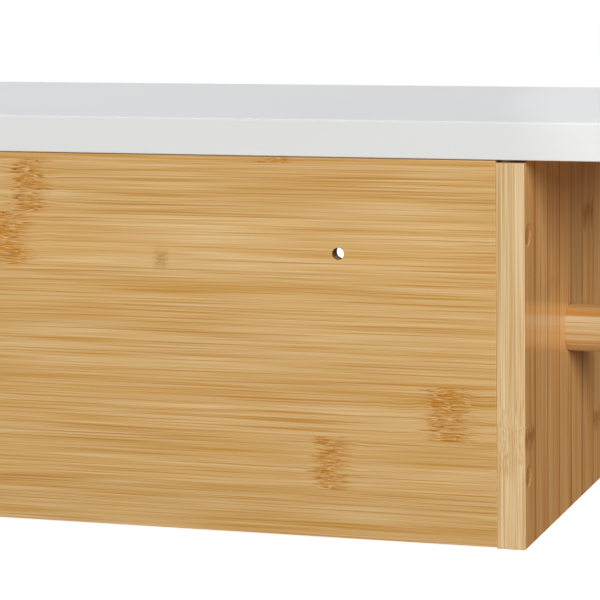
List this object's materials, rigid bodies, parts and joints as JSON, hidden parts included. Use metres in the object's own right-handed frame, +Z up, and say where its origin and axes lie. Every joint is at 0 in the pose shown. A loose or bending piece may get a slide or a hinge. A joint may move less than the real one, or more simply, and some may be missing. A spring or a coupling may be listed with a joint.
{
  "type": "toilet paper stand",
  "caption": "Bathroom shelf of a white board on bamboo panels, with a bamboo bar for paper rolls that slides out sideways; it hangs on wall screws or stands on its side panels.",
  "frame": {"origin": "on the floor, under the middle of the board", "axes": "+Z up, +X along the roll bar, the wall side faces +Y and the open front -Y"},
  "size_m": [0.46, 0.18, 0.176],
  "materials": {
    "white_paint": "white satin paint on fibreboard",
    "bamboo_panel": "laminated bamboo under clear semi-gloss lacquer",
    "bamboo_rod": "turned bamboo under clear semi-gloss lacquer",
    "bamboo_plug": "bamboo plug, lacquered with its panel",
    "screw_steel": "zinc plated",
    "beech": "raw beech"
  },
  "bodies": {
    "carcass": {"top_board": "white_paint", "back_panel": "bamboo_panel", "side_panel_left": "bamboo_panel", "side_panel_right": "bamboo_panel", "panel_screw_left_upper": "screw_steel", "panel_screw_left_lower": "screw_steel", "panel_screw_right_upper": "screw_steel", "panel_screw_right_lower": "screw_steel", "screw_plug_left_upper": "bamboo_plug", "screw_plug_left_lower": "bamboo_plug", "screw_plug_right_upper": "bamboo_plug", "screw_plug_right_lower": "bamboo_plug", "board_dowel_left_front": "beech", "board_dowel_left_rear": "beech", "board_dowel_right_front": "beech", "board_dowel_right_rear": "beech", "board_dowel_back_left": "beech", "board_dowel_back_middle": "beech", "board_dowel_back_right": "beech"},
    "roll_bar": {"roll_bar": "bamboo_rod"}
  },
  "joints": [
    {"name": "roll_bar_slide", "type": "slide", "parent": "carcass", "child": "roll_bar", "axis": [1, 0, 0], "range_m": [-0.395, 0.395]}
  ]
}
